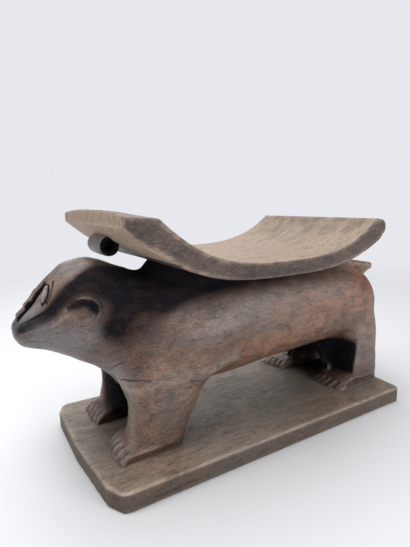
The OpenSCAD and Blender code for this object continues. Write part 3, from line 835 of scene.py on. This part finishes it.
# Dust and painted light: the jaw, throat, chest and front of the fore leg turn grey, partly as painted light
# from the floor below; the blobs on the forehead and the upper flank are painted sheen.
dust_and_light = blob(p, (-250, -25, 165, 42, 60, 22, 1.1), (-214, 0, 118, 34, 70, 26, 1.15),
            (-190, -62, 96, 10, 24, 26, 0.5), (-240, 0, 238, 34, 50, 18, 0.45),
            (-276, -20, 196, 16, 18, 16, 0.8), (-60, -78, 165, 60, 40, 26, 0.35),
            (-200, -45, 60, 20, 40, 40, 0.25), (-204, -50, 28, 16, 40, 12, 0.3))
tint(animal, "dust_and_light", dust_and_light + 1.2 * eyes + band(p, ear_lip[:6], 1.6, 0.8) + 0.15 * noise(p, 18, 12))
red = blob(p, (-150, -75, 150, 50, 60, 34, 0.8), (130, -78, 160, 90, 60, 34, 0.9),
           (205, -70, 190, 40, 60, 50, 0.7), (0, -78, 110, 90, 60, 26, 0.7), (-170, 60, 50, 16, 30, 60, 0.6))
tint(animal, "ruddy", red + 0.2 * noise(p, 26, 13))
print("sooty share of the skin: %.2f" % np.mean(shade_and_soot > 0.5))

# %% [markdown]
# ## Cut into the real pieces
# The skin was carved as one so that every cut could run over the joins. Now it is cut into
# the CAD's pieces. Each face goes to the piece its middle lies in, and every open rim is
# closed by a fan to its middle. The pieces keep the normals of the whole skin, so no seam
# shows in the light.

# %% Cutting tools
def read_faces(mesh):
    """Start and corner count of each face, the point of each corner and the next point, the
    face of each corner, and the face on the other side of the edge that starts there."""
    start = read(mesh.polygons, "loop_start", 1, np.int32)
    total = read(mesh.polygons, "loop_total", 1, np.int32)
    corner = read(mesh.loops, "vertex_index", 1, np.int32)
    owner = np.repeat(np.arange(len(start)), total)
    after = np.arange(len(corner)) + 1
    after[start + total - 1] = start
    nxt = corner[after]
    key = np.minimum(corner, nxt).astype(np.int64) * len(mesh.vertices) + np.maximum(corner, nxt)
    pairs = np.argsort(key, kind="stable").reshape(-1, 2)
    assert np.all(key[pairs[:, 0]] == key[pairs[:, 1]]), "the skin is closed"
    across = np.empty_like(owner)
    across[pairs[:, 0]], across[pairs[:, 1]] = owner[pairs[:, 1]], owner[pairs[:, 0]]
    return start, total, corner, nxt, owner, across


def settle_labels(label, corner, nxt, owner, across, rounds=12):
    """Where more than two rim edges of one piece meet in a point, all faces round the point
    join the piece with the lowest number, so that rims never touch themselves."""
    for _ in range(rounds):
        rim = label[owner] != label[across]
        ends = np.concatenate([corner[rim], nxt[rim]]).astype(np.int64)
        key, count = np.unique(ends * 64 + np.tile(label[owner[rim]], 2), return_counts=True)
        tangled = np.unique(key[count > 2] // 64)
        if not len(tangled):
            break
        lowest = np.full(corner.max() + 1, 99)
        np.minimum.at(lowest, corner, label[owner])
        hit = np.isin(corner, tangled)
        np.minimum.at(label, owner[hit], lowest[corner[hit]])
    return label


def rim_loops(a, b, count):
    """Gives every rim point the lowest number in its closed loop, by passing the lower
    number along the rim's edges a to b until nothing changes."""
    loop = np.arange(count)
    while np.any(loop[a] != loop[b]):
        low = np.minimum(loop[a], loop[b])
        np.minimum.at(loop, a, low)
        np.minimum.at(loop, b, low)
        loop[a], loop[b] = loop[loop[a]], loop[loop[b]]
    return loop


def cut_out(name, whole, faces, keep):
    """A closed mesh of the kept faces, with the whole skin's normals and attributes."""
    start, total, corner, nxt, owner, across = faces
    inside = keep[owner]
    used, new = np.unique(corner[inside], return_inverse=True)
    spot = np.full(len(whole.vertices), -1)
    spot[used] = np.arange(len(used))
    rim = inside & ~keep[across]
    a, b = spot[corner[rim]], spot[nxt[rim]]
    which = np.unique(rim_loops(a, b, len(used))[a], return_inverse=True)[1]
    points = get_points(whole)[used]
    hub = np.stack([np.bincount(which, points[a, k]) / np.bincount(which) for k in range(3)], -1)
    fans = np.stack([b, a, len(used) + which], -1)
    kept = np.split(new, np.cumsum(total[keep])[:-1])
    mesh = bpy.data.meshes.new(name)
    mesh.from_pydata((np.concatenate([points, hub]) * MM).tolist(), [],
                     [f.tolist() for f in kept] + fans.tolist())
    for layer in ("hollow", "wear_and_light", "shade_and_soot", "dust_and_light", "ruddy"):
        values = read(whole.attributes[layer].data, "value")
        tint(mesh, layer, np.concatenate([values[used], np.zeros(len(hub))]))
    mesh.polygons.foreach_set("use_smooth", np.ones(len(mesh.polygons), bool))
    normals = np.concatenate([get_normals(whole)[used], np.tile((0.0, 0.0, 1.0), (len(hub), 1))])
    mesh.normals_split_custom_set_from_vertices(normals.tolist())
    return mesh


# %% [markdown]
# The cuts are planes where the CAD's nodes meet: a slanted one behind the head, level ones at
# knee and ankle, and short ones at the tail and under the seat. Ears, eyes and nose bar stay
# on the head, because on the real stool they are relief in the same wood.

# %% The animal's pieces
names = ["trunk", "head", "tail", "seat_support"]
names += [form + side for form in ("fore_leg", "hind_leg", "fore_paw", "hind_paw")
          for side in ("_left", "_right")]
whole_head = ("head", "nose_ridge", "ear_left", "ear_right", "eye_left", "eye_right")
pieces = [(name, whole_head if name == "head" else (name,)) for name in names]
faces = read_faces(animal)
start, total, corner = faces[:3]
x, y, z = (np.add.reduceat(get_points(animal)[corner], start, axis=0) / total[:, None]).T
right = (y > 0).astype(int)
label = np.zeros(len(x), int)
label[x < neck_x - 0.2 * (248 - z)] = 1
label[(x > 243.5) & (z > 165)] = 2
label[(z > 226) & (x > -138) & (x < 110)] = 3
label = np.where(z < 72, np.where(x < 0, 4, 6) + right, label)
label = np.where(z < ankle_z, np.where(x < 0, 8, 10) + right, label)
label = settle_labels(label, *faces[2:])
body = []
for k, (name, nodes_replaced) in enumerate(pieces):
    part = in_scene(name + "_carved", cut_out(name, animal, faces, label == k))
    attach(part, "root")
    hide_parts(*nodes_replaced)
    body.append(part)
    print("%-16s %7d points" % (name, len(part.data.vertices)))

# %% [markdown]
# ## The seat
# Top and underside are the two curves from above, drawn in the animal's long plane and
# carried across. The front end is a blunt face whose upper edge is slightly arched, with the
# marks of the adze, and the rear end is rounded.

# %% Tools for the seat
def lattice_box(nx, ny, nz):
    """A box surface divided nx, ny and nz times: points with u, v, w from 0 to 1, and quads.
    Each side is a grid of whole-number corners; equal corners become one point."""
    size = np.array((nx, ny, nz))
    quads = []
    for axis in range(3):
        s1, s2 = (axis + 1) % 3, (axis + 2) % 3
        i, j = np.meshgrid(np.arange(size[s1]), np.arange(size[s2]), indexing="ij")
        for end in (0, 1):
            corner = np.zeros((i.size, 4, 3), int)
            for k, (di, dj) in enumerate(((0, 0), (1, 0), (1, 1), (0, 1))):
                corner[:, k, s1], corner[:, k, s2] = i.ravel() + di, j.ravel() + dj
            corner[:, :, axis] = end * size[axis]
            quads.append(corner if end else corner[:, ::-1])
    quads = np.concatenate(quads)
    points, index = np.unique(quads.reshape(-1, 3), axis=0, return_inverse=True)
    return points / size, index.reshape(-1, 4)


def by_length(line, share):
    """The place on a polyline at these shares of its length."""
    step = np.concatenate([[0], np.cumsum(np.linalg.norm(np.diff(line, axis=0), axis=1))])
    return np.stack([np.interp(share * step[-1], step, column) for column in line.T], -1)


# %% Seat
top_x = np.linspace(seat_x0 + 37, seat_x1 - seat_t, 90)
under_x = np.linspace(throat_x, seat_x1 - 10, 90)
end_r, bend = seat_t * 0.62, np.radians(np.linspace(58, 12, 8))
end_x, end_z = seat_x1 - end_r, low_z + 43 - end_r * 1.05
top_line = np.concatenate([[[seat_x0, front_z], [seat_x0 + 18, front_z - 2]],
                           np.stack([top_x, trough(top_x, low_z, 158.3, 158.2)], -1),
                           np.stack([end_x + end_r * np.cos(bend), end_z + end_r * np.sin(bend)], -1)])
under_line = np.concatenate([[[seat_x0, front_z - 12.5], chin],
                             np.stack([under_x, seat_under(under_x)], -1),
                             np.stack([end_x + end_r * np.cos(bend), end_z - end_r * np.sin(bend)], -1)])
uvw, quads = lattice_box(200, 124, 10)
u, v, w = uvw.T
v = 0.8 * v + 0.1 * (1 - np.cos(np.pi * v))
line = by_length(under_line, u) * (1 - w[:, None]) + by_length(top_line, u) * w[:, None]
arch = (5.5 * np.sin(v * np.pi) ** 0.6 - 1.5) * np.clip((-150 - line[:, 0]) / 40, 0, 1) * w
seat_mesh = as_mesh("seat", [(np.column_stack([line[:, 0], -120 + 232 * v, line[:, 1] + arch]), [quads])])
smooth(seat_mesh, 2)
q, m = get_points(seat_mesh), get_normals(seat_mesh)
front_face = (m[:, 0] < -0.7) * (q[:, 0] < -195)
front_end = np.maximum(0.5 * front_face, (m[:, 2] < -0.3) * (q[:, 0] < -150))
q += m * (0.40 * noise(q, 44, 4) + 0.16 * noise(q, 12, 5))[:, None]
q += m * (front_face * 0.5 * noise(q * (1, 1, 0.15), 4.5, 6))[:, None]
put_points(seat_mesh, q)
# Painted light together with wear: the blunt front face and the underside near the front are made pale.
mark_wear(seat_mesh, 4, 1.2, 0.45, 0.8 * front_end)
m = get_normals(seat_mesh)
on_top = rise(m[:, 2], 0.45, 0.7) * rise(q[:, 2], 234, 239)
end_soot = blob(q, (165, 0, 285, 75, 150, 34, 0.50), (-185, -60, 298, 46, 90, 14, 0.50))
# Painted shade on the underside over the animal's back; on the top, dirt at both ends and streaks along the
# grain.
tint(seat_mesh, "shade_and_soot", blob(q, (-20, 0, 222, 130, 200, 12, 0.7)) * (m[:, 2] < 0.3)
     + on_top * (end_soot + 0.24 * noise(q * (0.16, 1, 1), 8, 18)))
# The top is pale where it has been sat on; the front face and the underside near the front are made pale as
# painted light.
tint(seat_mesh, "dust_and_light", np.maximum(on_top, 0.85 * front_face + 1.0 * (m[:, 2] < -0.3) * (q[:, 0] < -150)))
tint(seat_mesh, "ruddy", (1 - on_top) * (0.55 + 0.35 * noise(q, 22, 14)))
seat = in_scene("seat_plank", seat_mesh)
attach(seat, "root")
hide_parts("seat")
print("seat points:", len(q))

# %% [markdown]
# ## The plinth
# A plank of the same block, worn round at its edges. Its front edge bows out and its near
# front corner has been knocked off. Its outline is a string drawn round seven posts.

# %% Plinth
posts = np.array([(-211, -109.5), (-219, -95.5), (-228, -6), (-229, 83.5), (-223, 97.5), (229, 97.5),
                  (217, -109.5)])
directions = np.stack([np.cos(full_turn(720)), np.sin(full_turn(720))], -1)


def plinth_ring(radius):
    """The outline round all posts at this radius: for each direction, the post that lies
    furthest that way, plus the radius in that direction."""
    return posts[np.argmax(directions @ posts.T, 1)] + directions * radius


levels = [(0, 9.3), (1.2, 10), (20.6, 10), (21.6, 9.4), (22, 8.4)]
rings = np.stack([np.column_stack([plinth_ring(radius), np.full(720, height)]) for height, radius in levels])
plinth_mesh = skin_over(as_mesh("plinth", [closed_loft(rings)]), 1.7)
smooth(plinth_mesh, 3)
q, m = get_points(plinth_mesh), get_normals(plinth_mesh)
uneven = 0.4 * noise(q, 45, 7) + 0.3 * noise(q, 15, 8) + 0.15 * noise(q * (0.3, 1, 1), 6, 9)
q += m * uneven[:, None] * rise(q[:, 2], 0.5, 6)[:, None]
put_points(plinth_mesh, q)
mark_wear(plinth_mesh, 4, 0.8, 0.45)
# Painted shade: the plinth's sides are darkened where they face sideways, and its top is darkened under the
# animal, between the fore legs and between the hind legs.
sides = fall(np.abs(m[:, 2]), 0.35, 0.75)
tint(plinth_mesh, "shade_and_soot", 0.62 * sides + blob(q, (195, 0, 24, 46, 60, 8, 0.9), (-150, 0, 24, 60, 50, 8, 0.6),
                                              (180, 50, 24, 70, 50, 8, 0.6)))
tint(plinth_mesh, "dust_and_light", 0.4 + 0.3 * noise(q, 40, 15))
red_edges = blob(q, (-170, -100, 22, 50, 22, 14, 0.9), (60, -112, 22, 120, 16, 10, 0.35))
tint(plinth_mesh, "ruddy", 0.6 * sides + red_edges + 0.25 * noise(q, 30, 16))
plinth = in_scene("plinth", plinth_mesh)
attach(plinth, "root")
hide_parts("base")
print("plinth points:", len(q))

# %% [markdown]
# ## The carrying lug
# A half-round lug under the seat's front end, bored across for a cord. The cord has worn the
# near mouth of the hole, so its edge is broken by a short chamfer. The section goes out along
# the outside and back through the bore, and is turned round the axis.

# %% Lug
lug_x, lug_z, lug_r, bore_r, lug_y0 = -187.6, 260.8, 11.9, 7.0, -24.0
outside_line = [(0, lug_r - 1.2), (0.6, lug_r - 0.4), (2.5, lug_r), (26, lug_r + 0.2), (49.5, lug_r),
                (51.4, lug_r - 0.4), (52, lug_r - 1.2)]
bore_line = [(52, bore_r + 0.2), (50, bore_r), (46, bore_r), (40, bore_r), (26, bore_r), (12, bore_r),
             (3.2, bore_r), (1.8, 8.0), (0.4, 9.8), (0, 10.6)]
reach, radius = np.array(outside_line + bore_line).T[:, :, None]
angle = full_turn(96)
lug_points = np.stack([lug_x + radius * np.cos(angle), lug_y0 + reach + 0 * angle,
                       lug_z + radius * np.sin(angle)], -1).reshape(-1, 3)
closing = grid_faces(len(reach) + 1, 96) % len(lug_points)
lug_mesh = skin_over(as_mesh("lug", [(lug_points, [closing])]), 0.9)
smooth(lug_mesh, 3)
mark_wear(lug_mesh, 4)
q = get_points(lug_mesh)
from_axis = np.hypot(q[:, 0] - lug_x, q[:, 2] - lug_z)
# Painted shade: the bore and the chamfer at its mouth are tinted black.
tint(lug_mesh, "shade_and_soot", 3.0 * fall(from_axis, lug_r - 1.3, lug_r - 0.5))
tint(lug_mesh, "dust_and_light", 0.7 + 0.2 * noise(q, 12, 17))
tint(lug_mesh, "ruddy", 0.1 + 0 * from_axis)
lug = in_scene("carrying_lug", lug_mesh)
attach(lug, "root")
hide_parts("carrying_lug")
print("bore: %.0f mm" % (2 * bore_r))

# %% [markdown]
# ## The wood
# The stool is one piece of wood, but three finishes: the animal is dark and rubbed to a low
# shine, the plinth is dull and scuffed, and the seat is pale where it has been sat on. One
# recipe makes all three. It layers broad colour patches, grain drawn out along the block,
# small pores, pale worn crests and dark hollows, painted light and painted shade, all on the
# object's own coordinates, so the grain runs unbroken from piece to piece.

# %% A short way to write materials
class Recipe:
    """A short way to write a material's node tree."""

    def __init__(self, name):
        self.material = bpy.data.materials.new(name)
        self.material.use_nodes = True
        self.tree = self.material.node_tree
        self.shader = self.tree.nodes["Principled BSDF"]
        self.place = self.node("ShaderNodeTexCoord").outputs["Object"]

    def plug(self, socket, value):
        """Links a socket to another node's output, or sets it to a plain value."""
        if hasattr(value, "links"):
            self.tree.links.new(value, socket)
        else:
            socket.default_value = value

    def node(self, kind, values=(), **settings):
        made = self.tree.nodes.new(kind)
        for key, value in settings.items():
            setattr(made, key, value)
        for key, value in dict(values).items():
            self.plug(made.inputs[key], value)
        return made

    def noise(self, scale, detail, rough, grain_x, twist=0.0, turn_by=(0, 0, 0)):
        """Noise drawn out along X: grain_x below 1 makes it longer."""
        place = self.node("ShaderNodeMapping", {"Vector": self.place, "Scale": (grain_x, 1, 1),
                                                "Rotation": turn_by})
        return self.node("ShaderNodeTexNoise", {"Vector": place.outputs[0], "Scale": scale, "Detail": detail,
                                                "Roughness": rough, "Distortion": twist}).outputs["Fac"]

    def ramp(self, value, low, high, out_low=0.0, out_high=1.0):
        return self.node("ShaderNodeMapRange", {"Value": value, "From Min": low, "From Max": high,
                                                "To Min": out_low, "To Max": out_high},
                         interpolation_type="SMOOTHSTEP").outputs["Result"]

    def mix(self, amount, first, second):
        """Goes from the first colour to the second. A plain colour is three numbers."""
        made = self.node("ShaderNodeMix", data_type="RGBA")
        for place, value in ((0, amount), (6, first), (7, second)):
            self.plug(made.inputs[place], (*value, 1.0) if isinstance(value, tuple) else value)
        return made.outputs[2]

    def calc(self, how, a, b):
        return self.node("ShaderNodeMath", {0: a, 1: b}, operation=how).outputs[0]

    def attribute(self, name):
        return self.node("ShaderNodeAttribute", attribute_name=name).outputs["Fac"]

    def bump(self, height, strength, depth, below=None):
        values = {"Height": height, "Strength": strength, "Distance": depth}
        if below is not None:
            values["Normal"] = below
        return self.node("ShaderNodeBump", values).outputs["Normal"]

    def finish(self, **sockets):
        for key, value in sockets.items():
            self.plug(self.shader.inputs[key.replace("_", " ")], value)
        return self.material


# %% [markdown]
# The wood is laid on like real finishes, from the ground colour up. The painted shade, which
# also holds some soot, goes on last and is dull, so it takes the shine away too.

# %% Wood recipe
# Near black, for the painted shade with soot, and for hollows and pores.
shade_and_soot_black = (0.0055, 0.0065, 0.0100)


def carved_wood(name, dark, brown, red, grey, pale, shine):
    """Starts from brown, breaks it up with dark patches and grain at three sizes, lays the red
    zones and the grey of dust with painted light over it, then pale worn crests with painted
    light, dark hollows and, last, the painted shade with soot."""
    r = Recipe(name)
    patches = r.noise(24, 5, 0.65, 0.6, 0.8)
    mottle = r.noise(90, 6, 0.65, 0.5, 0.5)
    grain = r.noise(210, 5, 0.65, 0.10, 0.5, (0, 0.02, 0.03))
    fine = r.noise(560, 4, 0.7, 0.45)
    streaks = r.noise(640, 3, 0.6, 0.16, 0.0, (0, 0.05, 0.06))
    pores = r.ramp(r.noise(300, 2, 0.5, 0.22), 0.66, 0.73)
    dusty_and_lit = r.attribute("dust_and_light")
    calm = r.ramp(dusty_and_lit, 0.0, 1.0, 1.0, 0.35)
    # Painted shade together with soot, broken up by the mottle; it goes on last and dulls the shine.
    shaded_and_sooty = r.calc("MULTIPLY", r.attribute("shade_and_soot"), r.ramp(mottle, 0.32, 0.66, 1.08, 0.84))
    shaded_and_sooty = r.calc("MINIMUM", shaded_and_sooty, 0.97)

    colour = r.mix(r.ramp(patches, 0.38, 0.64, 0, 0.50), brown, dark)
    ruddy = r.calc("MULTIPLY", r.attribute("ruddy"), r.ramp(patches, 0.3, 0.65, 1.0, 0.35))
    colour = r.mix(ruddy, colour, red)
    # Dust together with painted light greys the colour.
    colour = r.mix(r.calc("MULTIPLY", dusty_and_lit, r.ramp(mottle, 0.35, 0.65, 0.6, 1.0)), colour, grey)
    colour = r.mix(r.calc("MULTIPLY", r.ramp(mottle, 0.46, 0.68, 0, 0.66), calm), colour, dark)
    colour = r.mix(r.calc("MULTIPLY", r.ramp(grain, 0.50, 0.70, 0, 0.55), calm), colour, dark)
    colour = r.mix(r.calc("MULTIPLY", r.ramp(fine, 0.54, 0.66, 0, 0.16), calm), colour, pale)
    colour = r.mix(r.ramp(fine, 0.36, 0.48, 0.5, 0.0), colour, dark)
    # Pale worn crests, together with the painted light stored with the wear.
    wear_and_light = r.calc("MULTIPLY", r.attribute("wear_and_light"), r.ramp(mottle, 0.3, 0.62, 1.0, 0.3))
    colour = r.mix(r.calc("MULTIPLY", wear_and_light, 0.55), colour, pale)
    colour = r.mix(r.calc("MULTIPLY", r.attribute("hollow"), 0.80), colour, shade_and_soot_black)
    colour = r.mix(r.ramp(streaks, 0.52, 0.66, 0, 0.50), colour, dark)
    colour = r.mix(r.calc("MULTIPLY", pores, 0.7), colour, shade_and_soot_black)
    colour = r.mix(shaded_and_sooty, colour, shade_and_soot_black)

    height = r.calc("ADD", r.calc("MULTIPLY", grain, -0.5), r.calc("MULTIPLY", pores, -0.8))
    height = r.calc("ADD", height, r.calc("MULTIPLY", streaks, -0.7))
    normal = r.bump(mottle, 0.40, 0.0012)
    normal = r.bump(height, 0.45, 0.0007, normal)
    normal = r.bump(fine, 0.70, 0.0009, normal)
    rough = r.ramp(mottle, 0.3, 0.7, shine, shine + 0.16)
    rough = r.calc("MAXIMUM", rough, r.ramp(shaded_and_sooty, 0.3, 0.9, 0.0, 0.85))
    gloss = r.ramp(shaded_and_sooty, 0.1, 0.9, 0.64, 0.08)
    return r.finish(Base_Color=colour, Roughness=rough, Normal=normal, Specular_IOR_Level=gloss)


animal_wood = carved_wood("carved dark wood", (0.024, 0.016, 0.014), (0.178, 0.090, 0.054),
                          (0.290, 0.102, 0.046), (0.158, 0.166, 0.186), (0.430, 0.330, 0.260), 0.28)
plinth_wood = carved_wood("scuffed plinth wood", (0.070, 0.050, 0.036), (0.270, 0.200, 0.150),
                          (0.360, 0.175, 0.100), (0.262, 0.234, 0.188), (0.540, 0.420, 0.340), 0.48)
seat_wood = carved_wood("worn seat wood", (0.024, 0.015, 0.012), (0.066, 0.039, 0.028),
                        (0.100, 0.047, 0.029), (0.405, 0.290, 0.200), (0.600, 0.450, 0.350), 0.54)
dressed = [(part, animal_wood) for part in body + [lug]] + [(seat, seat_wood), (plinth, plinth_wood)]
for piece, wood in dressed:
    piece.data.materials.clear()
    piece.data.materials.append(wood)
print("pieces with a finish:", len(dressed))

# %% [markdown]
# ## Studio
# The photograph was taken on a white table under soft light. The floor here is a wide white
# disc. Near the stool it is a plain surface that takes the shadow; further out it fades, so
# no horizon shows and the camera sees the pale backdrop colour of the world.

# %% Floor and backdrop
floor_mesh = bpy.data.meshes.new("floor")
spokes = full_turn(64)
disc = np.stack([3.0 * np.cos(spokes), 3.0 * np.sin(spokes), 0 * spokes], -1)
floor_mesh.from_pydata(disc.tolist(), [], [list(range(64))])
floor = in_scene("floor", floor_mesh)
r = Recipe("white table")
away = r.node("ShaderNodeVectorMath", {0: r.place}, operation="LENGTH").outputs["Value"]
clear = r.node("ShaderNodeBsdfTransparent").outputs[0]
seen = r.node("ShaderNodeLightPath").outputs["Is Camera Ray"]
fade = r.calc("MULTIPLY", r.ramp(away, 0.45, 1.7), seen)
blend = r.node("ShaderNodeMixShader", {0: fade, 1: r.shader.outputs[0], 2: clear})
r.tree.links.new(blend.outputs[0], r.tree.nodes["Material Output"].inputs["Surface"])
white_table = r.finish(Base_Color=(0.67, 0.67, 0.685, 1.0), Roughness=0.7, Specular_IOR_Level=0.2)
floor_mesh.materials.append(white_table)

world = bpy.data.worlds.new("studio")
scene.world = world
world.use_nodes = True
nodes, links = world.node_tree.nodes, world.node_tree.links
room, paper = nodes["Background"], nodes.new("ShaderNodeBackground")
room.inputs["Color"].default_value = (0.80, 0.88, 1.0, 1.0)
room.inputs["Strength"].default_value = 0.17
paper.inputs["Color"].default_value = (0.80, 0.81, 0.86, 1.0)
ray, choose = nodes.new("ShaderNodeLightPath"), nodes.new("ShaderNodeMixShader")
for output, socket in ((ray.outputs["Is Camera Ray"], choose.inputs[0]), (room.outputs[0], choose.inputs[1]),
                       (paper.outputs[0], choose.inputs[2]),
                       (choose.outputs[0], nodes["World Output"].inputs["Surface"])):
    links.new(output, socket)
print("floor %.0f m across" % (2 * disc.max()))

# %% [markdown]
# Four large square lamps give the light: one above, one to the left, a low one at the front
# right whose reflection runs along the flank, and a broad weak one behind, which keeps the
# far edges from going black.

# %% Lamps
def soft_lamp(name, place, aim, size, power):
    """A square lamp at a place, turned to face a point, in metres and watts."""
    data = bpy.data.lights.new(name, "AREA")
    data.shape, data.size, data.energy = "SQUARE", size, power
    lamp = bpy.data.objects.new(name, data)
    scene.collection.objects.link(lamp)
    lamp.location = place
    lamp.rotation_euler = (Vector(aim) - Vector(place)).to_track_quat("-Z", "Y").to_euler()
    lamp.visible_camera = False


soft_lamp("overhead", (-0.2, 0.2, 1.8), (0, 0.05, 0), 1.9, 44)
soft_lamp("left", (-1.7, 0.1, 0.9), (0, 0, 0.15), 1.0, 14)
soft_lamp("front", (0.75, -1.7, 0.5), (0, 0, 0.12), 0.8, 21)
soft_lamp("back", (0.8, 2.4, 1.2), (0, 0, 0.2), 2.2, 24)
scene.view_settings.view_transform = "Standard"
print("lamps:", len(bpy.data.lights))
